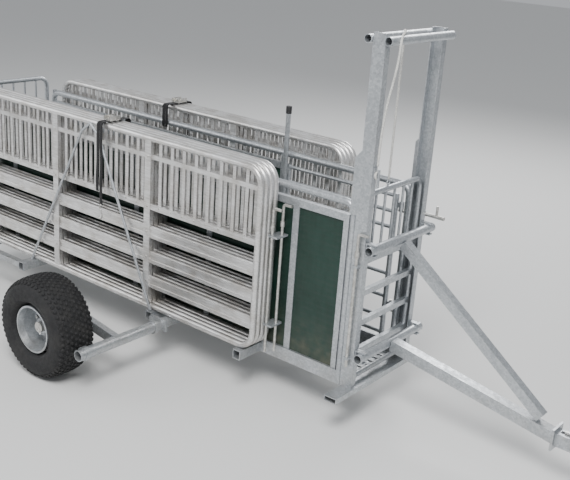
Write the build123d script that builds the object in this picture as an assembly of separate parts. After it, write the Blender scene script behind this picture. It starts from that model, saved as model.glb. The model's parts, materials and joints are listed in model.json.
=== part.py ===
from build123d import *
import math
import os

os.makedirs("parts", exist_ok=True)

# A towable sheep race: two walls, gates at both ends, stowed hurdles, swing-down wheels, drawbar.
# Units are millimetres. +X points to the hitch, +Y to the left, +Z up.
# Heights in this file are measured from the underside of the frame. The race stands on its wheels,
# ready to tow, so save() lifts every piece by GROUND_CLEARANCE and the tyres meet the ground at Z = 0.
# X_FRONT is the front face of the tall posts, so that the whole length is centred on X = 0.
X_FRONT = 1034
GROUND_CLEARANCE = 200

# ---- tall front frame -------------------------------------------------------------------------
POST_OUT = 280          # outer face of each post, from the middle
POST_DEPTH = 70         # along X
POST_FLANGE = 40        # along Y
POST_WALL = 5
POST_TOP = 1832
TOP_TUBE_R = 21
TOP_TUBE_Z = 1800
TOP_TUBE_HALF = 292
FOOT_HEIGHT = 30
FOOT_WIDTH = 75
GUSSET_LENGTH = 36

# ---- race walls -------------------------------------------------------------------------------
WALL_Y = 255
WALL_TUBE_R = 19
WALL_TOP_Z = 1000
WALL_FRONT = X_FRONT - 95
WALL_REAR = X_FRONT - 3090
CORNER_R = 55
SHEET_TOP = 925
SHEET_THICK = 8
BASE_LOW = 20
BASE_HIGH = 95
BASE_THICK = 38
GATEWAY_REAR = X_FRONT - 955    # rear post of the side gateway in the far wall

# ---- hurdles ----------------------------------------------------------------------------------
HURDLE_COUNT = 4
HURDLE_TUBE_R = 17.5
HURDLE_PITCH = 38
HURDLE_FIRST_Y = 295
HURDLE_FRONT = X_FRONT - 570
HURDLE_LENGTH = 2456
HURDLE_LOW = 93
HURDLE_HIGH = 1092
HURDLE_CORNER_R = 90
HURDLE_UPPER_RAIL = 990
HURDLE_MID_RAIL = 700
HURDLE_LOWER_RAILS = (548, 396, 244)
STACK_OUT = HURDLE_FIRST_Y + (HURDLE_COUNT - 1) * HURDLE_PITCH + HURDLE_TUBE_R

# ---- wheels -----------------------------------------------------------------------------------
TYRE_R = 288
TYRE_WIDTH = 250
RIM_R = 132
WHEEL_Y = 1000
AXLE_TUBE_R = 32
AXLE_X = X_FRONT - 1215
AXLE_Z = 38
AXLE_TUBE_IN = 281
AXLE_TUBE_OUT = 1060
ARM_LENGTH = 342
ARM_Y = 790
STUB_R = 20
WHEEL_Z = TYRE_R - GROUND_CLEARANCE
WHEEL_X = AXLE_X - math.sqrt(ARM_LENGTH ** 2 - (WHEEL_Z - AXLE_Z) ** 2)

# ---- drawbar ----------------------------------------------------------------------------------
BAR_TUBE_R = 24
BAR_TUBE_X = X_FRONT + 36
BAR_TUBE_HALF = 300
BAR_UPPER_Z = 795
BAR_LOWER_Z = 215
HITCH_X = X_FRONT + 985
HITCH_Z = 62

# ---- gates ------------------------------------------------------------------------------------
GATE_X = X_FRONT - POST_DEPTH / 2
GATE_HALF = 254
GATE_TUBE_R = 15
GATE_LOW = 52
GATE_HIGH = 1060
GATE_BARS_Z = (710, 535, 370, 210)
ROPE_Y = -70
ROPE_R = 6
DRAFT_HINGE_X = X_FRONT - 135
DRAFT_FREE_X = X_FRONT - 915
DRAFT_RAILS_Z = (925, 835, 745, 610, 475, 340, 215, 122)
LEVER_Y = WALL_Y - 39
LEVER_TOP = 1285
REAR_GATE_X = X_FRONT - 3150
REAR_GATE_HIGH = 1095
PIN_R = 8
PIN_FIT = 0.06          # radial running clearance of a pin in its lug


def block(x0, x1, y0, y1, z0, z1):
    """A box between two corners."""
    size = Box(abs(x1 - x0), abs(y1 - y0), abs(z1 - z0))
    return Pos((x0 + x1) / 2, (y0 + y1) / 2, (z0 + z1) / 2) * size


def rod(start, end, radius):
    """A solid round bar between two points."""
    start, end = Vector(*start), Vector(*end)
    plane = Plane(origin=start, z_dir=end - start)
    return extrude(plane * Circle(radius), (end - start).length)


def pipe(start, end, radius, wall=3):
    """A round tube with open ends."""
    start, end = Vector(*start), Vector(*end)
    plane = Plane(origin=start, z_dir=end - start)
    return extrude(plane * (Circle(radius) - Circle(radius - wall)), (end - start).length)


def bent_tube(points, corner, radius, closed=False):
    """A round bar swept along a route with rounded corners."""
    route = FilletPolyline(*points, radius=corner, close=closed)
    start = route @ 0
    return sweep(Plane(origin=start, z_dir=route % 0) * Circle(radius), path=route)


def mirrored(shape):
    """The same shape on the other side of the race."""
    return shape.mirror(Plane.XZ)


def save(name, *shapes):
    """Write one node."""
    solids = []
    for shape in shapes:
        solids += list(shape.solids())
    body = solids[0] if len(solids) == 1 else Compound(children=solids)
    export_step(Pos(0, 0, GROUND_CLEARANCE) * body, f"parts/{name}.step")


# ---- tall front frame -------------------------------------------------------------------------
def front_post():
    outer = block(X_FRONT - POST_DEPTH, X_FRONT, -POST_OUT, -POST_OUT + POST_FLANGE, FOOT_HEIGHT, POST_TOP)
    groove = block(
        X_FRONT - POST_DEPTH + POST_WALL, X_FRONT - POST_WALL,
        -POST_OUT + POST_WALL, 0, FOOT_HEIGHT - 1, POST_TOP + 1,
    )
    return outer - groove


def post_gusset():
    """The plate behind the post, cut on a slope at its top."""
    rear = X_FRONT - POST_DEPTH
    outline = Polyline(
        (rear + 1, 952), (rear + 1, 1278), (rear - GUSSET_LENGTH, 1236), (rear - GUSSET_LENGTH, 952),
        close=True,
    )
    plate = extrude(Plane.XZ * make_face(outline), 6)
    return Pos(0, -POST_OUT + 6, 0) * plate


def top_tube(x):
    return pipe((x, -TOP_TUBE_HALF, TOP_TUBE_Z), (x, TOP_TUBE_HALF, TOP_TUBE_Z), TOP_TUBE_R)


def foot_member(x, y0, y1):
    """A flat box section with open ends, lying on the ground."""
    outer = block(x - FOOT_WIDTH / 2, x + FOOT_WIDTH / 2, y0, y1, 0, FOOT_HEIGHT)
    hollow = block(x - FOOT_WIDTH / 2 + 4, x + FOOT_WIDTH / 2 - 4, y0 - 1, y1 + 1, 4, FOOT_HEIGHT - 4)
    return outer - hollow


near_post = front_post()
near_post += post_gusset()
save("front_posts", near_post, mirrored(near_post))
front_tube = top_tube(X_FRONT + TOP_TUBE_R + 0.3)
rear_tube = top_tube(X_FRONT - POST_DEPTH - TOP_TUBE_R - 0.3)
save("top_cross_tubes", front_tube, rear_tube)
FOOT_X = X_FRONT - 20
save("front_foot", foot_member(FOOT_X, -430, 290))


# ---- race walls -------------------------------------------------------------------------------
def wall_hoop():
    """Top rail with both end posts bent down to the base rail."""
    points = [
        (WALL_FRONT, -WALL_Y, BASE_HIGH), (WALL_FRONT, -WALL_Y, WALL_TOP_Z),
        (WALL_REAR, -WALL_Y, WALL_TOP_Z), (WALL_REAR, -WALL_Y, BASE_HIGH),
    ]
    return bent_tube(points, CORNER_R, WALL_TUBE_R)


def base_rail():
    half = BASE_THICK / 2
    return block(
        WALL_REAR - WALL_TUBE_R, WALL_FRONT + WALL_TUBE_R, -WALL_Y - half, -WALL_Y + half, BASE_LOW, BASE_HIGH
    )


def sheet_channel(front):
    """The channel that closes the top edge of the plastic sheet."""
    length_rear = WALL_REAR + WALL_TUBE_R + 0.4
    outer = block(length_rear, front, -WALL_Y - 14, -WALL_Y + 14, SHEET_TOP - 22, SHEET_TOP + 16)
    slot = block(length_rear - 1, front + 1, -WALL_Y - 4.3, -WALL_Y + 4.3, SHEET_TOP - 23, SHEET_TOP + 0.3)
    return outer - slot


def wall_sheet(front):
    """Corrugated plastic sheet, shown by shallow lengthwise ribs."""
    rear = WALL_REAR + WALL_TUBE_R + 1
    half = SHEET_THICK / 2
    return block(rear, front, -WALL_Y - half, -WALL_Y + half, BASE_HIGH + 0.5, SHEET_TOP)


def wall_studs(positions):
    """Upright flats that the sheet is riveted to, on its outer face."""
    flats = []
    for x in positions:
        flats.append(block(x - 20, x + 20, -WALL_Y - 9.3, -WALL_Y - 4.3, BASE_HIGH + 0.5, SHEET_TOP - 22.5))
    return flats


NEAR_SHEET_FRONT = WALL_FRONT - WALL_TUBE_R - 32
near_stile = block(
    NEAR_SHEET_FRONT + 0.5, WALL_FRONT - WALL_TUBE_R - 0.3, -WALL_Y - 14, -WALL_Y + 14,
    BASE_HIGH + 0.5, SHEET_TOP + 16,
)
save("near_wall_frame", wall_hoop() + base_rail())
near_edging = sheet_channel(NEAR_SHEET_FRONT - 0.5)
save("near_wall_sheet", wall_sheet(NEAR_SHEET_FRONT - 0.5))
STUD_STEP = 600
near_studs = wall_studs([NEAR_SHEET_FRONT - 300 - STUD_STEP * i for i in range(5)])

FAR_SHEET_FRONT = GATEWAY_REAR - 19.6
gateway_post = rod(
    (GATEWAY_REAR, -WALL_Y, BASE_HIGH - 1), (GATEWAY_REAR, -WALL_Y, WALL_TOP_Z - 2), WALL_TUBE_R
)
save("far_wall_frame", mirrored(wall_hoop() + base_rail() + gateway_post))
save("sheet_edging", near_edging, near_stile, mirrored(sheet_channel(FAR_SHEET_FRONT)))
save("far_wall_sheet", mirrored(wall_sheet(FAR_SHEET_FRONT)))
far_studs = wall_studs([FAR_SHEET_FRONT - 240 - STUD_STEP * i for i in range(4)])
save("sheet_studs", *near_studs, *[mirrored(stud) for stud in far_studs])

# ---- floor and base ---------------------------------------------------------------------------
FLOOR_HALF = WALL_Y - BASE_THICK / 2 - 0.5
REAR_FOOT_X = WALL_REAR - WALL_TUBE_R - FOOT_WIDTH / 2 - 0.5
FLOOR_FRONT = X_FRONT - POST_DEPTH - 6
FLOOR_REAR = WALL_REAR - WALL_TUBE_R
floor = block(FLOOR_REAR, FLOOR_FRONT, -FLOOR_HALF, FLOOR_HALF, 30.5, 36)
RIB_COUNT = 9
for i in range(RIB_COUNT):
    rib_y = (i - (RIB_COUNT - 1) / 2) * 50
    floor += block(FLOOR_REAR, FLOOR_FRONT, rib_y - 5, rib_y + 5, 35, 42)
save("floor_plate", floor)

rear_foot = foot_member(REAR_FOOT_X, -300, 300)
rear_posts = []
for side in (-1, 1):
    y = side * (WALL_Y + 25)
    rear_posts.append(block(REAR_GATE_X + 26, REAR_GATE_X + 66 - 25, y - 12, y + 12, FOOT_HEIGHT + 0.5, 1010))
save("rear_foot", rear_foot, *rear_posts)

OUTRIGGER_X = (X_FRONT - 640, X_FRONT - 1330, X_FRONT - 2450, X_FRONT - 2960)
OUTRIGGER_REACH = (450, 450, 525, 450)
OUTRIGGER_TOP = 74


def outrigger(x, reach):
    """A box section that sticks out of the base rail and carries the hurdles."""
    inner = WALL_Y + BASE_THICK / 2 + 0.3
    outer = block(x - 25, x + 25, -reach, -inner, BASE_LOW, OUTRIGGER_TOP)
    return outer - block(x - 21, x + 21, -reach - 1, -inner - 3, BASE_LOW + 4, OUTRIGGER_TOP - 4)


near_outriggers = [outrigger(x, reach) for x, reach in zip(OUTRIGGER_X, OUTRIGGER_REACH)]
RAIL_Y = 495
side_rail = block(X_FRONT - 3010, X_FRONT - 2476, -RAIL_Y - 22, -RAIL_Y + 22, 26, 62)
near_outriggers.append(side_rail)
save("outriggers", *near_outriggers, *[mirrored(piece) for piece in near_outriggers])


# ---- hurdles ----------------------------------------------------------------------------------
def rib_rail(z, front, rear):
    """A wide rail with two rolled ribs."""
    flat = block(rear, front, -3, 3, z - 38, z + 38)
    for offset in (-24, 24):
        flat += block(rear, front, -8, 8, z + offset - 9, z + offset + 9)
    return flat


def hurdle():
    """One hurdle in its own plane Y = 0."""
    front, rear = HURDLE_FRONT, HURDLE_FRONT - HURDLE_LENGTH
    points = [(front, 0, HURDLE_LOW), (front, 0, HURDLE_HIGH), (rear, 0, HURDLE_HIGH), (rear, 0, HURDLE_LOW)]
    frame = bent_tube(points, HURDLE_CORNER_R, HURDLE_TUBE_R, closed=True)
    shape = frame
    inner_front, inner_rear = front - HURDLE_TUBE_R + 2, rear + HURDLE_TUBE_R - 2
    shape += block(inner_rear, inner_front, -4, 4, HURDLE_UPPER_RAIL - 13, HURDLE_UPPER_RAIL + 13)
    shape += block(inner_rear, inner_front, -9, 9, HURDLE_MID_RAIL - 17, HURDLE_MID_RAIL + 17)
    for z in HURDLE_LOWER_RAILS:
        shape += rib_rail(z, inner_front, inner_rear)
    for third in (1, 2):
        x = front - HURDLE_LENGTH * third / 3
        shape += block(x - 24, x + 24, -14, 14, HURDLE_LOW, HURDLE_HIGH)
    return shape


def hurdle_bars():
    """The flat upright bars in the top part of one hurdle."""
    bars = []
    bay = HURDLE_LENGTH / 3
    for start in range(3):
        for i in range(1, 9):
            x = HURDLE_FRONT - bay * start - bay * i / 9
            low, high = HURDLE_MID_RAIL + 17.4, HURDLE_UPPER_RAIL - 13.4
            bars.append(block(x - 11, x + 11, -3, 3, low, high))
            bars.append(block(x - 11, x + 11, -3, 3, HURDLE_UPPER_RAIL + 13.4, HURDLE_HIGH - 17.9))
    return bars


plain_hurdle = hurdle()
plain_bars = hurdle_bars()
all_bars = []
for side, side_name in ((-1, "near"), (1, "far")):
    for index in range(HURDLE_COUNT):
        shift = Pos(0, side * (HURDLE_FIRST_Y + HURDLE_PITCH * index), 0)
        save(f"{side_name}_hurdle_{index + 1}", shift * plain_hurdle)
        all_bars += [shift * bar for bar in plain_bars]
save("hurdle_bars", *all_bars)

# ---- bails and straps that hold the hurdles ---------------------------------------------------
BAIL_Y = STACK_OUT + PIN_R + 1
BAIL_TOP_X = X_FRONT - 1865
BAIL_TOP_Z = 1090
front_leg = bent_tube(
    [
        (X_FRONT - 1330, -BAIL_Y, OUTRIGGER_TOP + 4), (BAIL_TOP_X + 75, -BAIL_Y, BAIL_TOP_Z - 60),
        (BAIL_TOP_X, -BAIL_Y, BAIL_TOP_Z),
    ],
    60, PIN_R,
)
rear_leg = bent_tube(
    [(X_FRONT - 2450, -BAIL_Y, OUTRIGGER_TOP + 4), (BAIL_TOP_X - 75, -BAIL_Y, BAIL_TOP_Z - 60),
     (BAIL_TOP_X - 0.2, -BAIL_Y, BAIL_TOP_Z)],
    60, PIN_R,
)
save("hurdle_bails", front_leg, rear_leg, mirrored(front_leg), mirrored(rear_leg))

STRAP_THICK = 3
STRAP_WIDTH = 44
STRAP_TOP = HURDLE_HIGH + HURDLE_TUBE_R + 5.5
STRAP_OUT = BAIL_Y + PIN_R + 2
STRAP_IN = WALL_Y - WALL_TUBE_R - 3.5


def strap(x, tail_low):
    """Webbing over the hurdles, from the wall's top rail to a tail on the outer side."""
    low, high = x - STRAP_WIDTH / 2, x + STRAP_WIDTH / 2
    outer, inner = -STRAP_OUT - STRAP_THICK, -STRAP_IN + STRAP_THICK
    top = block(low, high, outer, inner, STRAP_TOP, STRAP_TOP + STRAP_THICK)
    tail = block(low, high, -STRAP_OUT - STRAP_THICK, -STRAP_OUT, tail_low, STRAP_TOP + 1)
    hook = block(low, high, -STRAP_IN, -STRAP_IN + STRAP_THICK, WALL_TOP_Z - 35, STRAP_TOP + 1)
    return top + tail + hook


def buckle(x):
    """Ratchet buckle that lies on top of the strap."""
    base = STRAP_TOP + STRAP_THICK + 0.5
    shape = block(x - 28, x + 28, -395, -315, base, base + 8)
    shape += block(x - 28, x - 22, -395, -315, base, base + 26)
    shape += block(x + 22, x + 28, -395, -315, base, base + 26)
    return shape + rod((x - 30, -345, base + 15), (x + 30, -345, base + 15), 9)


NEAR_STRAP_X = X_FRONT - 1765
FAR_STRAP_X = X_FRONT - 1930
save("hurdle_straps", strap(NEAR_STRAP_X, 615), mirrored(strap(FAR_STRAP_X, 760)))
save("strap_buckles", buckle(NEAR_STRAP_X), mirrored(buckle(FAR_STRAP_X)))


# ---- swing arms and wheels --------------------------------------------------------------------
def swing_arm():
    """Pivot tube, box arm and stub axle of the near side."""
    tube = rod((AXLE_X, -AXLE_TUBE_OUT, AXLE_Z), (AXLE_X, -AXLE_TUBE_IN, AXLE_Z), AXLE_TUBE_R)
    tube -= rod((AXLE_X, -AXLE_TUBE_OUT - 1, AXLE_Z), (AXLE_X, -AXLE_TUBE_OUT + 90, AXLE_Z), AXLE_TUBE_R - 5)
    direction = Vector(WHEEL_X - AXLE_X, 0, WHEEL_Z - AXLE_Z)
    plane = Plane(origin=(AXLE_X, -ARM_Y, AXLE_Z), x_dir=(0, 1, 0), z_dir=direction)
    arm = extrude(plane * RectangleRounded(40, 62, 5), ARM_LENGTH + 30)
    stub = rod((WHEEL_X, -ARM_Y, WHEEL_Z), (WHEEL_X, -WHEEL_Y - 38, WHEEL_Z), STUB_R)
    flange = rod((WHEEL_X, -ARM_Y - 20, WHEEL_Z), (WHEEL_X, -ARM_Y - 42, WHEEL_Z), 45)
    return tube + arm + stub + flange


def tube_collars():
    """Two clamp rings that keep the pivot tube in its bearings."""
    rings = []
    for y in (-AXLE_TUBE_OUT + 45, -520):
        ring = rod((AXLE_X, y - 14, AXLE_Z), (AXLE_X, y + 14, AXLE_Z), AXLE_TUBE_R + 7)
        rings.append(ring - rod((AXLE_X, y - 15, AXLE_Z), (AXLE_X, y + 15, AXLE_Z), AXLE_TUBE_R + 0.05))
    return rings


def wheel_profile(points_yr):
    """A closed outline of (distance along the axle, radius) turned about the near wheel's axle."""
    points = [(WHEEL_X, -WHEEL_Y + y, WHEEL_Z + r) for y, r in points_yr]
    face = make_face(Polyline(*points, close=True))
    return revolve(face, Axis((WHEEL_X, 0, WHEEL_Z), (0, 1, 0)), 360)


def tyre():
    half = TYRE_WIDTH / 2
    low = RIM_R + 3
    outline = [
        (-half + 28, low), (-half + 8, low + 22), (-half, low + 68), (-half + 4, TYRE_R - 50),
        (-half + 22, TYRE_R - 20), (-half + 52, TYRE_R - 5), (-30, TYRE_R), (30, TYRE_R),
        (half - 52, TYRE_R - 5), (half - 22, TYRE_R - 20), (half - 4, TYRE_R - 50), (half, low + 68),
        (half - 8, low + 22), (half - 28, low),
    ]
    return wheel_profile(outline)


def rim():
    """Deep dished steel rim with a hub that runs on the stub axle."""
    half = TYRE_WIDTH / 2
    edge = RIM_R + 2.6
    bore = STUB_R + PIN_FIT
    outline = [
        (-half + 24, edge), (-half + 30, edge + 0.2), (half - 30, edge + 0.2), (half - 24, edge),
        (half - 24, edge - 10), (half - 60, edge - 18), (20, edge - 18), (14, 60), (40, 44), (40, bore),
        (-36, bore), (-36, 44), (2, 60), (8, edge - 18), (-half + 60, edge - 18), (-half + 24, edge - 10),
    ]
    return wheel_profile(outline)


def wheel_nuts():
    """Five wheel nuts and the hub cap, in one fastener group."""
    pieces = []
    for i in range(5):
        angle = math.radians(90 + 72 * i)
        x = WHEEL_X + 78 * math.cos(angle)
        z = WHEEL_Z + 78 * math.sin(angle)
        nut = Plane(origin=(x, -WHEEL_Y - 15, z), z_dir=(0, 1, 0)) * RegularPolygon(10, 6)
        pieces.append(extrude(nut, 14))
    cap = rod((WHEEL_X, -WHEEL_Y - 58, WHEEL_Z), (WHEEL_X, -WHEEL_Y - 38.5, WHEEL_Z), 30)
    pieces.append(cap)
    return pieces


near_arm, near_tyre, near_rim, near_nuts = swing_arm(), tyre(), rim(), wheel_nuts()
save("near_swing_arm", near_arm)
save("far_swing_arm", mirrored(near_arm))
save("near_arm_collars", *tube_collars())
save("far_arm_collars", *[mirrored(ring) for ring in tube_collars()])
save("near_tyre", near_tyre)
save("far_tyre", mirrored(near_tyre))
save("near_rim", near_rim)
save("far_rim", mirrored(near_rim))
save("near_wheel_nuts", *near_nuts)
save("far_wheel_nuts", *[mirrored(nut) for nut in near_nuts])

bearing_plates = []
for y in (-296, -462):
    plate = block(AXLE_X - 55, AXLE_X + 50, y - 5, y + 5, 2, 74)
    plate -= rod((AXLE_X, y - 6, AXLE_Z), (AXLE_X, y + 6, AXLE_Z), AXLE_TUBE_R + PIN_FIT)
    bearing_plates.append(plate)
bearing_tie = block(AXLE_X - 89.5, AXLE_X - 55.2, -467, -291, 20, 60)
bearing_plates.append(bearing_tie)
save("axle_bearings", *bearing_plates, *[mirrored(plate) for plate in bearing_plates])


# ---- front drop gate --------------------------------------------------------------------------
def hoop_gate(x, half, low, high, radius):
    """A closed hoop of tube in the plane at x."""
    points = [(x, -half, low), (x, -half, high), (x, half, high), (x, half, low)]
    return bent_tube(points, 60, radius, closed=True)


gate = hoop_gate(GATE_X, GATE_HALF, GATE_LOW + GATE_TUBE_R, GATE_HIGH, GATE_TUBE_R)
for z in GATE_BARS_Z:
    gate += block(GATE_X - 13, GATE_X + 13, -GATE_HALF + 8, GATE_HALF - 8, z - 15, z + 15)
for i in range(5):
    y = (i - 2) * 84
    gate += rod((GATE_X, y, GATE_BARS_Z[0]), (GATE_X, y, GATE_HIGH), 7)
save("gate_frame", gate)
EYE_Z = GATE_HIGH + GATE_TUBE_R
eye_ring = Pos(GATE_X, ROPE_Y, EYE_Z + 15.8) * (Rot(0, 90, 0) * Torus(12, 3.5))
save("gate_rope_eye", eye_ring)

ROPE_LOW = EYE_Z + 32
ROPE_HIGH = TOP_TUBE_Z + TOP_TUBE_R + ROPE_R + 1
save("gate_rope", rod((GATE_X, ROPE_Y, ROPE_LOW), (GATE_X, ROPE_Y, ROPE_HIGH - 1), ROPE_R))
HAUL_X = X_FRONT + 2 * TOP_TUBE_R + ROPE_R + 1
HAUL_Y = -228
haul_points = [
    (GATE_X, ROPE_Y, ROPE_HIGH + ROPE_R), (GATE_X + 40, ROPE_Y - 50, ROPE_HIGH + ROPE_R),
    (HAUL_X, HAUL_Y, ROPE_HIGH + ROPE_R - 4), (HAUL_X, HAUL_Y - 6, 1690),
    (X_FRONT + 14, -262, 1440), (X_FRONT + 14, -262, 1215),
]
haul_route = FilletPolyline(*haul_points, radius=[18, 20, 60, 60])
haul_end = Plane(origin=haul_route @ 0, z_dir=haul_route % 0)
save("haul_rope", sweep(haul_end * Circle(ROPE_R), path=haul_route))
cleat = block(X_FRONT + 0.4, X_FRONT + 6, -275, -249, 1130, 1205)
cleat += block(X_FRONT + 5, X_FRONT + 20, -268, -256, 1155, 1180)
cleat += rod((X_FRONT + 24, -262, 1110), (X_FRONT + 24, -262, 1200), 7)
save("rope_cleat", cleat)

# ---- side draft gate in the far wall ----------------------------------------------------------
draft_low, draft_high = DRAFT_RAILS_Z[-1] - 15, DRAFT_RAILS_Z[0] + 15
draft = rod((DRAFT_FREE_X, WALL_Y, draft_low), (DRAFT_FREE_X, WALL_Y, draft_high), 15)
hinge_stile_x = DRAFT_HINGE_X - 36
draft += rod((hinge_stile_x, WALL_Y, draft_low), (hinge_stile_x, WALL_Y, draft_high), 15)
for z in DRAFT_RAILS_Z:
    draft += rod((DRAFT_FREE_X, WALL_Y, z), (hinge_stile_x, WALL_Y, z), 11)
HINGE_Z = (300, 660, 880)
HINGE_Y = WALL_Y
for z in HINGE_Z:
    barrel = rod((DRAFT_HINGE_X, HINGE_Y, z - 22), (DRAFT_HINGE_X, HINGE_Y, z + 22), 14)
    arm = block(hinge_stile_x, DRAFT_HINGE_X - 6, HINGE_Y - 6, HINGE_Y + 6, z - 14, z + 14)
    draft += barrel + arm
    draft -= rod((DRAFT_HINGE_X, HINGE_Y, z - 40), (DRAFT_HINGE_X, HINGE_Y, z + 40), PIN_R + PIN_FIT)
save("draft_gate_frame", draft)
lever = rod((DRAFT_FREE_X, LEVER_Y, 690), (DRAFT_FREE_X, LEVER_Y, LEVER_TOP - 42), 14)
for z in (720, 900):
    lever += block(DRAFT_FREE_X - 10, DRAFT_FREE_X + 10, LEVER_Y + 5, WALL_Y - 15.4, z - 14, z + 14)
save("draft_gate_lever", lever)
grip = rod((DRAFT_FREE_X, LEVER_Y, LEVER_TOP - 41.6), (DRAFT_FREE_X, LEVER_Y, LEVER_TOP), 17)
save("draft_lever_grip", grip)
hinge_pins = []
for z in HINGE_Z:
    pin = rod((DRAFT_HINGE_X, HINGE_Y, z - 34), (DRAFT_HINGE_X, HINGE_Y, z + 30), PIN_R)
    pin += block(DRAFT_HINGE_X - 10, WALL_FRONT - 10, HINGE_Y - 12, HINGE_Y + 12, z - 34, z - 23)
    pin -= rod((WALL_FRONT, HINGE_Y, z - 50), (WALL_FRONT, HINGE_Y, z + 50), WALL_TUBE_R + 0.2)
    hinge_pins.append(pin)

# ---- rear hoop gate ---------------------------------------------------------------------------
REAR_HALF = WALL_Y - 20
rear_gate = hoop_gate(REAR_GATE_X, REAR_HALF, 62, REAR_GATE_HIGH, 16)
for z in (400, 720):
    rear_gate += rod((REAR_GATE_X, -REAR_HALF, z), (REAR_GATE_X, REAR_HALF, z), 12)
REAR_HINGE_Y = REAR_HALF + 38
for z in (250, 850):
    barrel = rod((REAR_GATE_X, REAR_HINGE_Y, z - 25), (REAR_GATE_X, REAR_HINGE_Y, z + 25), 14)
    arm = block(REAR_GATE_X - 6, REAR_GATE_X + 6, REAR_HALF, REAR_HINGE_Y - 5, z - 15, z + 15)
    rear_gate += barrel + arm
    low, high = (REAR_GATE_X, REAR_HINGE_Y, z - 40), (REAR_GATE_X, REAR_HINGE_Y, z + 40)
    rear_gate -= rod(low, high, PIN_R + PIN_FIT)
for i in range(4):
    y = (i - 1.5) * 94
    rear_gate += rod((REAR_GATE_X, y, 62), (REAR_GATE_X, y, REAR_GATE_HIGH), 7)
save("rear_gate_frame", rear_gate)
rear_pins = []
for z in (250, 850):
    pin = rod((REAR_GATE_X, REAR_HINGE_Y, z - 37), (REAR_GATE_X, REAR_HINGE_Y, z + 32), PIN_R)
    pin += block(REAR_GATE_X - 10, REAR_GATE_X + 25.5, REAR_HINGE_Y - 10, REAR_HINGE_Y + 10, z - 37, z - 26)
    rear_pins.append(pin)
save("gate_hinge_pins", *hinge_pins, *rear_pins)
BOLT_Z = 760
BOLT_X = REAR_GATE_X - 30
bolt_sleeve = pipe((BOLT_X, -215, BOLT_Z), (BOLT_X, -140, BOLT_Z), 13, wall=13 - PIN_R - PIN_FIT)
bolt_sleeve += block(BOLT_X + 9, REAR_GATE_X - 7.5, -205, -150, BOLT_Z - 8, BOLT_Z + 8)
save("rear_bolt_sleeve", bolt_sleeve)
bolt = rod((BOLT_X, -225, BOLT_Z), (BOLT_X, -80, BOLT_Z), PIN_R)
bolt += rod((BOLT_X, -88, BOLT_Z), (BOLT_X - 45, -88, BOLT_Z), 6)
save("rear_bolt", bolt)


# ---- drop pins and their lugs -----------------------------------------------------------------
def drop_pin(x, y, low, high, turn):
    """A round pin with a cranked grip at its top."""
    grip_end = (x + 55 * turn, y, high)
    shape = bent_tube([(x, y, low), (x, y, high), grip_end], 14, PIN_R)
    return shape + rod((x, y, high - 120), (x, y, high - 90), PIN_R + 4)


def pin_lug(x, y, z, inner_y, half=16):
    """A plate with a hole for a drop pin, reaching out from the wall."""
    shape = block(x - half, x + half, y - 15, inner_y, z - 5, z + 5)
    return shape - rod((x, y, z - 9), (x, y, z + 9), PIN_R + PIN_FIT)


STACK_PINS = ((X_FRONT - 530, -345), (X_FRONT - 500, -302))
POST_PIN = (X_FRONT - 32, -POST_OUT - 15)
outer_pin = drop_pin(*STACK_PINS[0], 72, 885, 1)
inner_pin = drop_pin(*STACK_PINS[1], 72, 905, 1)
save("near_outer_pin", outer_pin)
save("near_inner_pin", inner_pin)
save("far_outer_pin", mirrored(outer_pin))
save("far_inner_pin", mirrored(inner_pin))
save("near_post_pin", drop_pin(*POST_PIN, 150, 868, 1))
wall_face = -WALL_Y - 14.4
LUG_Z = (235, 735)
stack_lugs = []
for z in LUG_Z:
    plate = block(X_FRONT - 546, X_FRONT - 484, -360, wall_face, z - 5, z + 5)
    for x, y in STACK_PINS:
        plate -= rod((x, y, z - 9), (x, y, z + 9), PIN_R + PIN_FIT)
    stack_lugs.append(plate)
post_lugs = [pin_lug(*POST_PIN, z, -POST_OUT - 0.3) for z in (200, 700)]
save("pin_lugs", *stack_lugs, *[mirrored(lug) for lug in stack_lugs], *post_lugs)
SIDE_BOLT_Y = POST_OUT + 16
SIDE_BOLT_Z = 855
sleeve = rod((X_FRONT - 60, SIDE_BOLT_Y, SIDE_BOLT_Z), (X_FRONT - 10, SIDE_BOLT_Y, SIDE_BOLT_Z), 15)
sleeve -= rod((X_FRONT - 61, SIDE_BOLT_Y, SIDE_BOLT_Z), (X_FRONT - 9, SIDE_BOLT_Y, SIDE_BOLT_Z), 10 + PIN_FIT)
save("side_bolt_sleeve", sleeve)
side_bolt = rod((X_FRONT - 110, SIDE_BOLT_Y, SIDE_BOLT_Z), (X_FRONT + 106, SIDE_BOLT_Y, SIDE_BOLT_Z), 10)
handle_x = X_FRONT + 60
side_bolt += rod((handle_x, SIDE_BOLT_Y, SIDE_BOLT_Z + 9), (handle_x, SIDE_BOLT_Y, SIDE_BOLT_Z + 60), 7)
save("side_bolt", side_bolt)


# ---- drawbar and coupler ----------------------------------------------------------------------
def box_beam(start, end, width, height):
    """A solid rectangular bar between two points in the plane Y = 0."""
    start, end = Vector(*start), Vector(*end)
    plane = Plane(origin=start, x_dir=(0, 1, 0), z_dir=end - start)
    return extrude(plane * Rectangle(width, height), (end - start).length)


cross_bars = []
for z in (BAR_UPPER_Z, BAR_LOWER_Z):
    cross_bars.append(pipe((BAR_TUBE_X, -BAR_TUBE_HALF, z), (BAR_TUBE_X, BAR_TUBE_HALF, z), BAR_TUBE_R))
beam = box_beam((BAR_TUBE_X + 26, 0, BAR_LOWER_Z - 4), (HITCH_X, 0, HITCH_Z), 60, 60)
brace = box_beam((BAR_TUBE_X + 22, 0, BAR_UPPER_Z - 22), (HITCH_X - 74, 0, HITCH_Z + 72), 50, 50)
save("drawbar_frame", *cross_bars, beam, brace)

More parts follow.
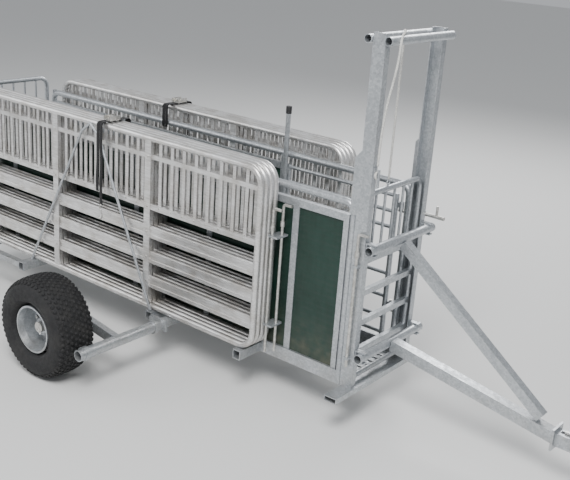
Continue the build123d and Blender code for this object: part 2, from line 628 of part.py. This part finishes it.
plate = block(HITCH_X + 5, HITCH_X + 17, -55, 55, 8, 118)
neck = block(HITCH_X + 16, HITCH_X + 110, -34, 34, 28, 96)
head = Pos(HITCH_X + 130, 0, 46) * Sphere(42)
socket = Pos(HITCH_X + 130, 0, 34) * Sphere(25.4)
throat = rod((HITCH_X + 130, 0, -20), (HITCH_X + 130, 0, 34), 25.4)
coupler = plate + neck + head - socket - throat
coupler -= block(HITCH_X, HITCH_X + 200, -80, 80, -20, 6)
coupler -= block(HITCH_X + 32, HITCH_X + 120, -12, 12, 70, 120)
LATCH_X = HITCH_X + 60
LATCH_Z = 86
coupler -= rod((LATCH_X, -40, LATCH_Z), (LATCH_X, 40, LATCH_Z), 5.2)
save("coupler_body", coupler)
save("coupler_latch_pin", rod((LATCH_X, -34, LATCH_Z), (LATCH_X, 34, LATCH_Z), 5))
latch = rod((LATCH_X, -9, LATCH_Z), (LATCH_X, 9, LATCH_Z), 13)
latch += block(LATCH_X, LATCH_X + 62, -9, 9, 99, 108)
latch += block(LATCH_X - 9, LATCH_X + 9, -9, 9, LATCH_Z, 108)
latch += rod((LATCH_X + 62, -30, 104), (LATCH_X + 62, 30, 104), 8)
latch -= rod((LATCH_X, -12, LATCH_Z), (LATCH_X, 12, LATCH_Z), 5 + PIN_FIT)
save("coupler_latch", latch)

hooks = []
for side in (-1, 1):
    for z in (BAR_UPPER_Z, BAR_LOWER_Z):
        y = side * (POST_OUT - 20)
        saddle = block(X_FRONT + 0.4, BAR_TUBE_X + 22, y - 14, y + 14, z - BAR_TUBE_R - 8, z + BAR_TUBE_R + 8)
        gap = block(X_FRONT + 6, BAR_TUBE_X + 30, y - 15, y + 15, z - BAR_TUBE_R - 1, z + BAR_TUBE_R + 1)
        hooks.append(saddle - gap)
save("drawbar_hooks", *hooks)
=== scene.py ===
import bpy
import json
import math
from mathutils import Matrix, Vector


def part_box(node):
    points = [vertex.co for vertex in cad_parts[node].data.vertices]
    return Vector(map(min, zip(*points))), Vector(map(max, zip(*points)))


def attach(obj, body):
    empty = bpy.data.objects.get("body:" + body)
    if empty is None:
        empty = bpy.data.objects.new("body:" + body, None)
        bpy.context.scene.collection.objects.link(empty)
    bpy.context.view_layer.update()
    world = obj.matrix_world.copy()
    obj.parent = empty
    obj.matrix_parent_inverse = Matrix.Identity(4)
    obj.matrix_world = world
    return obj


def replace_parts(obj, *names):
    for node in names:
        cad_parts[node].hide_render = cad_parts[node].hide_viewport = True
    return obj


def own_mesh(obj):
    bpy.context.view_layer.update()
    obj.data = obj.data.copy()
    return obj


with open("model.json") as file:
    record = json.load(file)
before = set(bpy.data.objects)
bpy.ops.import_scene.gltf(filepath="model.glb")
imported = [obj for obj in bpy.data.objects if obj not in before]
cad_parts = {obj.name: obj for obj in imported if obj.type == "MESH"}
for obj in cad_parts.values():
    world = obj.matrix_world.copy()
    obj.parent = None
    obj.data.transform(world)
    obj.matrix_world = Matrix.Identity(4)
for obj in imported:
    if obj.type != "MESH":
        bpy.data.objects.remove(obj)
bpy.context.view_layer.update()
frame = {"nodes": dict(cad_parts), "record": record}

# Driving dimensions in metres, from the CAD model. LIFT is the frame's height above the ground.
X_FRONT = 1.034
LIFT = 0.200
GATE_X = X_FRONT - 0.035
ROPE_Y = -0.070
ROPE_RADIUS = 0.006
ROPE_LOW = LIFT + 1.107
ROPE_HIGH = LIFT + 1.827
CLEAT = Vector((X_FRONT + 0.0125, -0.262, LIFT + 1.1675))
HURDLE_OUT_Y = 0.409
HURDLE_FRONT = X_FRONT - 0.570
HURDLE_LENGTH = 2.456
HURDLE_MID_RAIL = LIFT + 0.700
HURDLE_UPPER_RAIL = LIFT + 0.990
STRAP_TOP = LIFT + 1.1165
STRAP_OUT_Y = 0.447
STRAP_IN_Y = 0.231


# ---- camera -----------------------------------------------------------------------------------
CAMERA_PLACE = Vector((X_FRONT + 2.264, -3.855, LIFT + 2.299))
CAMERA_TURN = math.radians(37.65)
CAMERA_DOWN = math.radians(19.41)
CAMERA_TILT = math.radians(4.11)
CAMERA_LENS = 57.9
SENSOR_WIDTH = 36


def make_camera():
    """A standing photographer's view of the front and near side, with a slight tilt of the frame."""
    turn, down, tilt = CAMERA_TURN, CAMERA_DOWN, CAMERA_TILT
    forward = Vector((-math.sin(turn) * math.cos(down), math.cos(turn) * math.cos(down), -math.sin(down)))
    level = Vector((math.cos(turn), math.sin(turn), 0))
    above = level.cross(forward)
    right = math.cos(tilt) * level + math.sin(tilt) * above
    up = math.cos(tilt) * above - math.sin(tilt) * level
    data = bpy.data.cameras.new("camera")
    data.lens = CAMERA_LENS
    data.sensor_width = SENSOR_WIDTH
    camera = bpy.data.objects.new("camera", data)
    turn_matrix = Matrix((right, up, -forward)).transposed().to_4x4()
    camera.matrix_world = Matrix.Translation(CAMERA_PLACE) @ turn_matrix
    bpy.context.collection.objects.link(camera)
    bpy.context.scene.camera = camera


make_camera()


# ---- materials --------------------------------------------------------------------------------
class Surface:
    """A procedural material with short helpers for its node tree."""

    def __init__(self, name, metallic=0.0, roughness=0.5):
        self.material = bpy.data.materials.new(name)
        self.material.use_nodes = True
        self.tree = self.material.node_tree
        self.shader = self.tree.nodes["Principled BSDF"]
        self.shader.inputs["Metallic"].default_value = metallic
        self.shader.inputs["Roughness"].default_value = roughness
        self.place = self.node("ShaderNodeTexCoord").outputs["Object"]

    def node(self, kind):
        return self.tree.nodes.new(kind)

    def link(self, output, target):
        self.tree.links.new(output, target)

    def stretched(self, scale):
        """Object coordinates, scaled along each axis."""
        mapping = self.node("ShaderNodeMapping")
        mapping.inputs["Scale"].default_value = scale
        self.link(self.place, mapping.inputs["Vector"])
        return mapping.outputs["Vector"]

    def noise(self, scale, detail=4.0, stretch=None):
        node = self.node("ShaderNodeTexNoise")
        node.inputs["Scale"].default_value = scale
        node.inputs["Detail"].default_value = detail
        self.link(self.stretched(stretch) if stretch else self.place, node.inputs["Vector"])
        return node.outputs["Fac"]

    def cells(self, scale):
        """Voronoi cells, each with its own random grey."""
        node = self.node("ShaderNodeTexVoronoi")
        node.inputs["Scale"].default_value = scale
        self.link(self.place, node.inputs["Vector"])
        split = self.node("ShaderNodeSeparateColor")
        self.link(node.outputs["Color"], split.inputs["Color"])
        return split.outputs["Red"]

    def waves(self, scale, direction, distortion=0.0):
        node = self.node("ShaderNodeTexWave")
        node.bands_direction = direction
        node.inputs["Scale"].default_value = scale
        node.inputs["Distortion"].default_value = distortion
        self.link(self.place, node.inputs["Vector"])
        return node.outputs["Fac"]

    def ramp(self, factor, *stops):
        node = self.node("ShaderNodeValToRGB")
        ends = node.color_ramp.elements
        while len(ends) < len(stops):
            ends.new(0.5)
        for end, (position, colour) in zip(ends, stops):
            end.position = position
            end.color = (*colour, 1)
        self.link(factor, node.inputs["Fac"])
        return node.outputs["Color"]

    def mixed(self, factor, first, second, mode="MIX", amount=None):
        node = self.node("ShaderNodeMix")
        node.data_type = "RGBA"
        node.blend_type = mode
        if amount is None:
            self.link(factor, node.inputs["Factor"])
        else:
            node.inputs["Factor"].default_value = amount
        self.link(first, node.inputs["A"])
        self.link(second, node.inputs["B"])
        return node.outputs["Result"]

    def ranged(self, value, low, high, start=0.0, end=1.0):
        node = self.node("ShaderNodeMapRange")
        node.inputs["From Min"].default_value = start
        node.inputs["From Max"].default_value = end
        node.inputs["To Min"].default_value = low
        node.inputs["To Max"].default_value = high
        self.link(value, node.inputs["Value"])
        return node.outputs["Result"]

    def height_dirt(self, low, high):
        """1 at the ground, falling to 0 at the given height, broken up by noise."""
        split = self.node("ShaderNodeSeparateXYZ")
        self.link(self.place, split.inputs["Vector"])
        fade = self.ranged(split.outputs["Z"], 1.0, 0.0, low, high)
        node = self.node("ShaderNodeMath")
        node.operation = "MULTIPLY"
        self.link(fade, node.inputs[0])
        self.link(self.ranged(self.noise(14, 6), 0.0, 1.0, 0.35, 0.7), node.inputs[1])
        return node.outputs["Value"]

    def colour(self, output):
        self.link(output, self.shader.inputs["Base Color"])

    def roughness(self, output):
        self.link(output, self.shader.inputs["Roughness"])

    def bump(self, height, strength, distance):
        node = self.node("ShaderNodeBump")
        node.inputs["Strength"].default_value = strength
        node.inputs["Distance"].default_value = distance
        self.link(height, node.inputs["Height"])
        self.link(node.outputs["Normal"], self.shader.inputs["Normal"])


def dusty(surface, colour, low, high):
    """Mud dust near the ground over a colour."""
    dust = surface.ramp(surface.noise(30, 5), (0.3, (0.16, 0.125, 0.08)), (0.7, (0.26, 0.21, 0.15)))
    return surface.mixed(surface.ranged(surface.height_dirt(low, high), 0.0, 0.35), colour, dust)


def galvanised_steel():
    s = Surface("galvanised_steel", metallic=0.78, roughness=0.42)
    spangle = s.ramp(
        s.cells(110), (0.0, (0.43, 0.455, 0.475)), (0.5, (0.50, 0.525, 0.545)), (1.0, (0.59, 0.61, 0.63)),
    )
    patches = s.ramp(s.noise(6, 5), (0.32, (0.88, 0.88, 0.89)), (0.68, (1.0, 1.0, 1.0)))
    s.colour(dusty(s, s.mixed(None, spangle, patches, "MULTIPLY", 0.85), 0.18, 0.40))
    s.roughness(s.ranged(s.noise(42, 6), 0.30, 0.52, 0.3, 0.7))
    s.bump(s.noise(240, 3), 0.12, 0.0008)
    return s.material


def mill_aluminium():
    s = Surface("mill_aluminium", metallic=0.82, roughness=0.38)
    drawn = s.ramp(s.noise(9, 6, (1.2, 14, 14)), (0.3, (0.60, 0.59, 0.58)), (0.7, (0.84, 0.84, 0.84)))
    stains = s.ramp(s.noise(11, 7), (0.36, (0.80, 0.775, 0.74)), (0.56, (1.0, 1.0, 1.0)))
    s.colour(dusty(s, s.mixed(None, drawn, stains, "MULTIPLY", 0.8), 0.22, 0.60))
    s.roughness(s.ranged(s.noise(60, 6, (1, 10, 10)), 0.26, 0.48, 0.3, 0.7))
    s.bump(s.noise(120, 4, (1, 12, 12)), 0.10, 0.0006)
    return s.material


def zinc_plate():
    s = Surface("zinc_plate", metallic=0.9, roughness=0.33)
    s.colour(s.ramp(s.noise(55, 6), (0.3, (0.44, 0.43, 0.40)), (0.7, (0.72, 0.71, 0.68))))
    s.roughness(s.ranged(s.noise(90, 5), 0.24, 0.5, 0.3, 0.7))
    s.bump(s.noise(300, 2), 0.1, 0.0005)
    return s.material


def green_plastic():
    s = Surface("green_plastic_sheet", roughness=0.42)
    faded = s.ramp(s.noise(2.2, 5), (0.3, (0.005, 0.024, 0.016)), (0.7, (0.010, 0.038, 0.027)))
    streaks = s.ramp(s.noise(8, 7, (6, 6, 0.8)), (0.35, (0.72, 0.74, 0.72)), (0.65, (1.0, 1.0, 1.0)))
    s.colour(dusty(s, s.mixed(None, faded, streaks, "MULTIPLY", 0.7), 0.22, 0.55))
    s.roughness(s.ranged(s.noise(25, 6), 0.34, 0.58, 0.3, 0.7))
    s.bump(s.waves(9.0, "Z"), 0.35, 0.004)
    return s.material


def tyre_rubber():
    s = Surface("tyre_rubber", roughness=0.78)
    rubber = s.ramp(s.noise(40, 6), (0.3, (0.007, 0.007, 0.008)), (0.7, (0.016, 0.016, 0.017)))
    dust = s.ramp(s.noise(70, 5), (0.3, (0.026, 0.025, 0.023)), (0.7, (0.044, 0.042, 0.038)))
    s.colour(s.mixed(s.ranged(s.noise(13, 7), 0.0, 0.5, 0.45, 0.75), rubber, dust))
    s.roughness(s.ranged(s.noise(80, 4), 0.66, 0.9, 0.3, 0.7))
    s.bump(s.noise(260, 4), 0.25, 0.001)
    return s.material


def black_webbing():
    s = Surface("black_webbing", roughness=0.85)
    weave = s.mixed(None, s.waves(170, "X"), s.waves(150, "Z"), "MULTIPLY", 1.0)
    s.colour(s.ramp(weave, (0.0, (0.003, 0.003, 0.004)), (1.0, (0.016, 0.016, 0.018))))
    s.bump(weave, 0.6, 0.001)
    s.shader.inputs["Sheen Weight"].default_value = 0.05
    return s.material


def rope_fibre():
    s = Surface("rope_fibre", roughness=0.88)
    s.colour(s.ramp(s.noise(160, 6), (0.3, (0.40, 0.40, 0.38)), (0.7, (0.74, 0.73, 0.69))))
    s.bump(s.noise(900, 3), 0.4, 0.0006)
    s.shader.inputs["Sheen Weight"].default_value = 0.2
    return s.material


def black_grip():
    s = Surface("black_grip", roughness=0.5)
    s.colour(s.ramp(s.noise(120, 4), (0.3, (0.010, 0.010, 0.011)), (0.7, (0.030, 0.030, 0.032))))
    s.roughness(s.ranged(s.noise(60, 4), 0.38, 0.62, 0.3, 0.7))
    s.bump(s.waves(90, "Z"), 0.4, 0.001)
    return s.material


MATERIALS = {
    "galvanised": galvanised_steel(),
    "aluminium": mill_aluminium(),
    "zinc": zinc_plate(),
    "green_sheet": green_plastic(),
    "tyre_rubber": tyre_rubber(),
    "webbing": black_webbing(),
    "rope": rope_fibre(),
    "grip": black_grip(),
}
SLOT_OF = {part["node"]: part["material_slot"] for part in frame["record"]["subparts"]}
for name, node in frame["nodes"].items():
    node.data.materials.clear()
    node.data.materials.append(MATERIALS[SLOT_OF[name]])


def add_mesh(name, vertices, faces, slot, body, smooth=True):
    """A finished mesh piece that rides on a body."""
    mesh = bpy.data.meshes.new(name)
    mesh.from_pydata([tuple(v) for v in vertices], [], faces)
    mesh.validate()
    mesh.update()
    for polygon in mesh.polygons:
        polygon.use_smooth = smooth
    mesh.materials.append(MATERIALS[slot])
    piece = bpy.data.objects.new(name, mesh)
    bpy.context.collection.objects.link(piece)
    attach(piece, body)
    return piece


# ---- ropes ------------------------------------------------------------------------------------
ROPE_LAY = 0.028
ROPE_STRANDS = 3
ROPE_VALLEY = 0.80
ROPE_SIDES = 18
WINDING_RADIUS = 0.0030
WINDING_LAY = 0.014


def spline_points(points):
    """Points along the smooth NURBS line through a route."""
    data = bpy.data.curves.new("route", "CURVE")
    data.dimensions = "3D"
    data.resolution_u = 64
    spline = data.splines.new("NURBS")
    spline.points.add(len(points) - 1)
    for target, point in zip(spline.points, points):
        target.co = (*point, 1)
    spline.order_u = 3
    spline.use_endpoint_u = True
    holder = bpy.data.objects.new("route", data)
    bpy.context.collection.objects.link(holder)
    line = bpy.data.meshes.new_from_object(holder)
    result = [v.co.copy() for v in line.vertices]
    bpy.data.objects.remove(holder)
    return result


def ring_faces(rings, around):
    """Side faces between successive rings of points, and a cap on each end."""
    faces = []
    for i in range(rings - 1):
        for k in range(around):
            j = (k + 1) % around
            faces.append((i * around + k, i * around + j, (i + 1) * around + j, (i + 1) * around + k))
    faces.append(tuple(reversed(range(around))))
    last = (rings - 1) * around
    faces.append(tuple(last + k for k in range(around)))
    return faces


def rings_along(line, around, reach):
    """Rings of points round a line. reach gives the radius at an angle and a distance along."""
    vertices = []
    side = (line[1] - line[0]).orthogonal().normalized()
    travelled = 0.0
    for i, centre in enumerate(line):
        ahead = (line[min(i + 1, len(line) - 1)] - line[max(i - 1, 0)]).normalized()
        side = (side - ahead * side.dot(ahead)).normalized()
        across = ahead.cross(side)
        if i:
            travelled += (centre - line[i - 1]).length
        for k in range(around):
            angle = 2 * math.pi * k / around
            outward = math.cos(angle) * side + math.sin(angle) * across
            vertices.append(centre + reach(angle, travelled) * outward)
    return vertices


def laid_rope(name, line, radius, body, lay=ROPE_LAY):
    """A three-strand rope: its outline turns once in each lay along the line."""
    def reach(angle, travelled):
        turn = 2 * math.pi * travelled / lay
        return radius * (ROPE_VALLEY + (1 - ROPE_VALLEY) * abs(math.cos(ROPE_STRANDS / 2 * (angle - turn))))

    vertices = rings_along(line, ROPE_SIDES, reach)
    return add_mesh(name, vertices, ring_faces(len(line), ROPE_SIDES), "rope", body)


GATE_ROUTE = [
    (GATE_X, ROPE_Y, ROPE_HIGH), (GATE_X, ROPE_Y, (ROPE_HIGH + ROPE_LOW) / 2), (GATE_X, ROPE_Y, ROPE_LOW),
]
gate_line = spline_points(GATE_ROUTE)
gate_rope = laid_rope("gate_rope_laid", gate_line, ROPE_RADIUS, "race")
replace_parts(gate_rope, "gate_rope")
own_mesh(gate_rope)
HAUL_X = X_FRONT + 0.049
HAUL_ROUTE = [
    (GATE_X, ROPE_Y, LIFT + 1.834), (GATE_X + 0.040, ROPE_Y - 0.050, LIFT + 1.834),
    (HAUL_X, -0.228, LIFT + 1.830), (HAUL_X, -0.234, LIFT + 1.690),
    (X_FRONT + 0.014, -0.262, LIFT + 1.440), (X_FRONT + 0.014, -0.262, LIFT + 1.215),
]
haul_line = spline_points(HAUL_ROUTE)
haul_rope = laid_rope("haul_rope_laid", haul_line, ROPE_RADIUS, "race")
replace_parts(haul_rope, "haul_rope")


def cleat_turns():
    """The rope's last turns, wound round the cleat's neck, as the control points of one line."""
    turns, per_turn = 3, 12
    points = []
    for i in range(turns * per_turn + 1):
        angle = math.pi / 2 + 2 * math.pi * i / per_turn
        out = 0.010 + 0.001 * math.sin(2.7 * angle)
        along = -0.0035 + 0.0035 * i / per_turn
        points.append(CLEAT + Vector((along, 1.25 * out * math.cos(angle), 1.75 * out * math.sin(angle))))
    return spline_points(points)


hitch = laid_rope("rope_cleat_turns", cleat_turns(), WINDING_RADIUS, "race", lay=WINDING_LAY)


# ---- tyres ------------------------------------------------------------------------------------
TYRE_INNER = 0.136
TYRE_SQUARENESS = 2.9
TREAD_DEPTH = 0.0075
SECTION_POINTS = 56
SECTION_STEPS = 144
SIDEWALL_INSET = 0.003
SIDEWALL_RIBS = ((0.160, 0.172), (0.212, 0.220))
RIB_HEIGHT = 0.0026
TREAD_ROWS = 9
BLOCKS_PER_ROW = 54
TREAD_SHARE = 0.80
SLOPE_SHARE = 0.02
SLOPE_WIDTH = 0.005
BLOCK_FOOT = (0.0125, 0.0098, -0.003)
BLOCK_TOP = (0.0095, 0.0072, 0.0070)


def tyre_radius(share, outer, inner):
    """Carcass radius at a share of the half width, from a rounded balloon section."""
    middle, half = (outer + inner) / 2, (outer - inner) / 2
    return middle + half * (1 - abs(share) ** TYRE_SQUARENESS) ** (1 / TYRE_SQUARENESS)


def tyre_section(half_width, carcass):
    """The closed section as pairs of Y and radius, with low ribs on its sidewalls."""
    section = []
    for k in range(SECTION_POINTS):
        angle = 2 * math.pi * k / SECTION_POINTS
        c, s = math.cos(angle), math.sin(angle)
        y = (half_width - SIDEWALL_INSET) * math.copysign(abs(c) ** (2 / TYRE_SQUARENESS), c)
        rise = math.copysign(abs(s) ** (2 / TYRE_SQUARENESS), s)
        r = (carcass + TYRE_INNER) / 2 + (carcass - TYRE_INNER) / 2 * rise
        if any(low < r < high for low, high in SIDEWALL_RIBS):
            y += math.copysign(RIB_HEIGHT, y)
        section.append((y, r))
    return section


def tyre_mesh(side):
    """Balloon tyre with raised blocks over its tread and ribs on its sidewalls."""
    low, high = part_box(f"{side}_tyre")
    centre = (low + high) / 2
    outer, half_width = (high.z - low.z) / 2, (high.y - low.y) / 2
    carcass = outer - TREAD_DEPTH
    section = tyre_section(half_width, carcass)
    vertices, faces = [], []
    for i in range(SECTION_STEPS):
        turn = 2 * math.pi * i / SECTION_STEPS
        for y, r in section:
            vertices.append((centre.x + r * math.cos(turn), centre.y + y, centre.z + r * math.sin(turn)))
    points = SECTION_POINTS
    for i in range(SECTION_STEPS):
        following = (i + 1) % SECTION_STEPS
        for k in range(points):
            j = (k + 1) % points
            faces.append((i * points + k, i * points + j, following * points + j, following * points + k))
    middle_row = (TREAD_ROWS - 1) / 2
    for row in range(TREAD_ROWS):
        share = (row - middle_row) / middle_row * TREAD_SHARE
        y = share * half_width
        for i in range(BLOCKS_PER_ROW):
            turn = 2 * math.pi * (i + 0.5 * (row % 2)) / BLOCKS_PER_ROW
            add_block(vertices, faces, centre, y, turn, share, carcass)
    return add_mesh(f"{side}_tyre_treaded", vertices, faces, "tyre_rubber", f"{side}_wheel", smooth=True)


def add_block(vertices, faces, centre, y, turn, share, carcass):
    """One raised tread block, tapered to its top, on the carcass's own slope."""
    first = len(vertices)
    base = tyre_radius(share, carcass, TYRE_INNER)
    above = tyre_radius(share + SLOPE_SHARE, carcass, TYRE_INNER)
    below = tyre_radius(share - SLOPE_SHARE, carcass, TYRE_INNER)
    slope = (above - below) / SLOPE_WIDTH
    for along, across, rise in (BLOCK_FOOT, BLOCK_TOP):
        for corner in range(8):
            angle = math.pi / 8 + math.pi * corner / 4
            spin = along * math.cos(angle) / base
            offset = across * math.sin(angle)
            radius = base + slope * offset + rise
            vertices.append((
                centre.x + radius * math.cos(turn + spin), centre.y + y + offset,
                centre.z + radius * math.sin(turn + spin),
            ))
    for k in range(8):
        j = (k + 1) % 8
        faces.append((first + k, first + j, first + 8 + j, first + 8 + k))
    faces.append(tuple(first + 8 + k for k in range(8)))
    faces.append(tuple(first + 7 - k for k in range(8)))


for side in ("near", "far"):
    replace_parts(tyre_mesh(side), f"{side}_tyre")


# ---- straps -----------------------------------------------------------------------------------
STRIP_WIDTH = 0.024
STRIP_HALF_THICKNESS = 0.0013
STRIP_OFFSET = 0.0125
STRIP_OUTLINE = ((-1, -0.6), (-0.93, -1), (0.93, -1), (1, -0.6), (1, 0.6), (0.93, 1), (-0.93, 1), (-1, 0.6))
STRAP_CORNER = 0.014
TAIL_STEPS = 30
HOOK_RADIUS = 0.0032


def strap_path(tail_low):
    """The strap's line in Y and Z: up its inner side, over the hurdles and down the loose tail."""
    eased = STRAP_CORNER * 0.3
    tail_top = STRAP_TOP - STRAP_CORNER
    path = [(STRAP_IN_Y, LIFT + 0.972), (STRAP_IN_Y, LIFT + 1.05), (STRAP_IN_Y, tail_top)]
    path += [(STRAP_IN_Y + eased, STRAP_TOP - eased), (STRAP_IN_Y + STRAP_CORNER, STRAP_TOP)]
    path += [(0.27 + 0.02 * i, STRAP_TOP + 0.0008 * math.sin(2.1 * i)) for i in range(8)]
    path += [(STRAP_OUT_Y - STRAP_CORNER, STRAP_TOP), (STRAP_OUT_Y - eased, STRAP_TOP - eased)]
    for i in range(TAIL_STEPS + 1):
        drop = i / TAIL_STEPS
        z = tail_top + (tail_low - tail_top) * drop
        path.append((STRAP_OUT_Y + 0.004 * drop * math.sin(9 * drop + 0.6) + 0.001, z))
    return path


def webbing(name, x, sign, tail_low, lean=0.0):
    """One narrow strip over the hurdles with a loose tail, which leans along X as it falls."""
    path = strap_path(tail_low)
    vertices = []
    for i, (y, z) in enumerate(path):
        before, after = path[max(i - 1, 0)], path[min(i + 1, len(path) - 1)]
        along = Vector((0, after[0] - before[0], after[1] - before[1])).normalized()
        normal = Vector((0, along.z, -along.y))
        share = max(0.0, (LIFT + 1.0 - z) / 0.4)
        sway = 0.006 * share * math.sin(2.2 * share) + lean * min(1.0, max(0.0, (STRAP_TOP - z) / 0.4))
        for across, out in STRIP_OUTLINE:
            middle = Vector((x + sway + across * STRIP_WIDTH / 2, y, z))
            point = middle + normal * out * STRIP_HALF_THICKNESS
            vertices.append((point.x, sign * point.y, point.z))
    return add_mesh(name, vertices, ring_faces(len(path), len(STRIP_OUTLINE)), "webbing", "race")


near_x, far_x = X_FRONT - 1.765, X_FRONT - 1.930
near_long = webbing("near_strap_long_tail", near_x + STRIP_OFFSET, -1, LIFT + 0.62, lean=-0.003)
near_short = webbing("near_strap_short_tail", near_x - STRIP_OFFSET, -1, LIFT + 0.70, lean=-0.012)
far_long = webbing("far_strap_long_tail", far_x + STRIP_OFFSET, 1, LIFT + 0.765, lean=0.003)
far_short = webbing("far_strap_short_tail", far_x - STRIP_OFFSET, 1, LIFT + 0.83, lean=-0.008)
for strip in (near_long, near_short, far_long, far_short):
    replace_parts(strip, "hurdle_straps")


def round_bar(name, line, radius, slot, body, around=12):
    """A round bar along a line, with closed ends."""
    vertices = rings_along(line, around, lambda angle, travelled: radius)
    return add_mesh(name, vertices, ring_faces(len(line), around), slot, body)


hook_top = Vector((near_x + 0.0095, -STRAP_OUT_Y - 0.001, LIFT + 0.621))
HOOK_ROUTE = (
    (0.012, 0, -0.002), (0.0, 0, 0.004), (-0.013, 0, -0.004), (-0.010, 0, -0.022), (0.0, 0, -0.034),
    (0.006, 0, -0.052), (0.014, 0, -0.070), (0.006, 0, -0.086), (-0.010, 0, -0.084), (-0.014, 0, -0.068),
)
hook_line = spline_points([hook_top + Vector(point) for point in HOOK_ROUTE])
round_bar("near_strap_hook", hook_line, HOOK_RADIUS, "zinc", "race")


# ---- rivets and bolts on the hurdles ----------------------------------------------------------
HURDLE_BAYS = 3
BARS_PER_BAY = 8
HURDLE_RAILS = (LIFT + 0.244, LIFT + 0.396, LIFT + 0.548, HURDLE_MID_RAIL, HURDLE_UPPER_RAIL)
HEAD_HEIGHT = 0.0035
BAR_HEAD_RADIUS = 0.0065
RAIL_HEAD_RADIUS = 0.008


def dome(vertices, faces, centre, normal, radius, height):
    """A low round head."""
    first, around, rings = len(vertices), 12, 3
    side = normal.orthogonal().normalized()
    across = normal.cross(side)
    for ring in range(rings):
        lift = math.pi / 2 * ring / rings
        for k in range(around):
            angle = 2 * math.pi * k / around
            flat = radius * math.cos(lift) * (math.cos(angle) * side + math.sin(angle) * across)
            vertices.append(centre + flat + normal * height * math.sin(lift))
    vertices.append(centre + normal * height)
    for ring in range(rings - 1):
        for k in range(around):
            j = (k + 1) % around
            a, b = first + ring * around, first + (ring + 1) * around
            faces.append((a + k, a + j, b + j, b + k))
    top, last = len(vertices) - 1, first + (rings - 1) * around
    for k in range(around):
        faces.append((last + k, last + (k + 1) % around, top))
    faces.append(tuple(first + around - 1 - k for k in range(around)))


def hurdle_heads(side, sign):
    """Heads on the outermost hurdle, at its bars along the mid rail and at its two inner uprights."""
    vertices, faces = [], []
    outward = Vector((0, sign, 0))
    bay = HURDLE_LENGTH / HURDLE_BAYS
    for start in range(HURDLE_BAYS):
        for i in range(1, BARS_PER_BAY + 1):
            x = HURDLE_FRONT - bay * start - bay * i / (BARS_PER_BAY + 1)
            place = Vector((x, sign * (HURDLE_OUT_Y + 0.0088), HURDLE_MID_RAIL + 0.004))
            dome(vertices, faces, place, outward, BAR_HEAD_RADIUS, HEAD_HEIGHT)
    for upright in range(1, HURDLE_BAYS):
        x = HURDLE_FRONT - HURDLE_LENGTH * upright / HURDLE_BAYS
        for z in HURDLE_RAILS:
            place = Vector((x, sign * (HURDLE_OUT_Y + 0.0138), z))
            dome(vertices, faces, place, outward, RAIL_HEAD_RADIUS, HEAD_HEIGHT)
    return add_mesh(f"{side}_hurdle_rivets", vertices, faces, "zinc", "race")


hurdle_heads("near", -1)
hurdle_heads("far", 1)


# ---- floor and light --------------------------------------------------------------------------
FLOOR_SIZE = 60
SKY_STRENGTH = 0.50
LAMP_AIM = Vector((-0.3, 0, 0.5))
# Name, place, power in watts and width of each lamp.
LAMPS = (
    ("key", (2.5, -4.0, 6.0), 520, 2.6),
    ("fill", (-5.0, -3.5, 3.5), 120, 4.0),
    ("back", (-1.0, 5.5, 5.0), 300, 3.0),
)


def studio():
    """A plain pale floor, an even sky and three area lamps."""
    bpy.ops.mesh.primitive_plane_add(size=FLOOR_SIZE, location=(0, 0, 0))
    floor = bpy.context.object
    floor.name = "studio_floor"
    material = bpy.data.materials.new("studio_floor")
    material.use_nodes = True
    shader = material.node_tree.nodes["Principled BSDF"]
    shader.inputs["Base Color"].default_value = (0.74, 0.74, 0.73, 1)
    shader.inputs["Roughness"].default_value = 0.9
    floor.data.materials.append(material)
    world = bpy.data.worlds.new("studio")
    world.use_nodes = True
    world.node_tree.nodes["Background"].inputs["Color"].default_value = (0.93, 0.96, 1.0, 1)
    world.node_tree.nodes["Background"].inputs["Strength"].default_value = SKY_STRENGTH
    bpy.context.scene.world = world
    for name, place, power, size in LAMPS:
        data = bpy.data.lights.new(name, "AREA")
        data.energy = power
        data.size = size
        lamp = bpy.data.objects.new(name, data)
        lamp.location = place
        lamp.rotation_euler = (LAMP_AIM - Vector(place)).to_track_quat("-Z", "Y").to_euler()
        bpy.context.collection.objects.link(lamp)


studio()
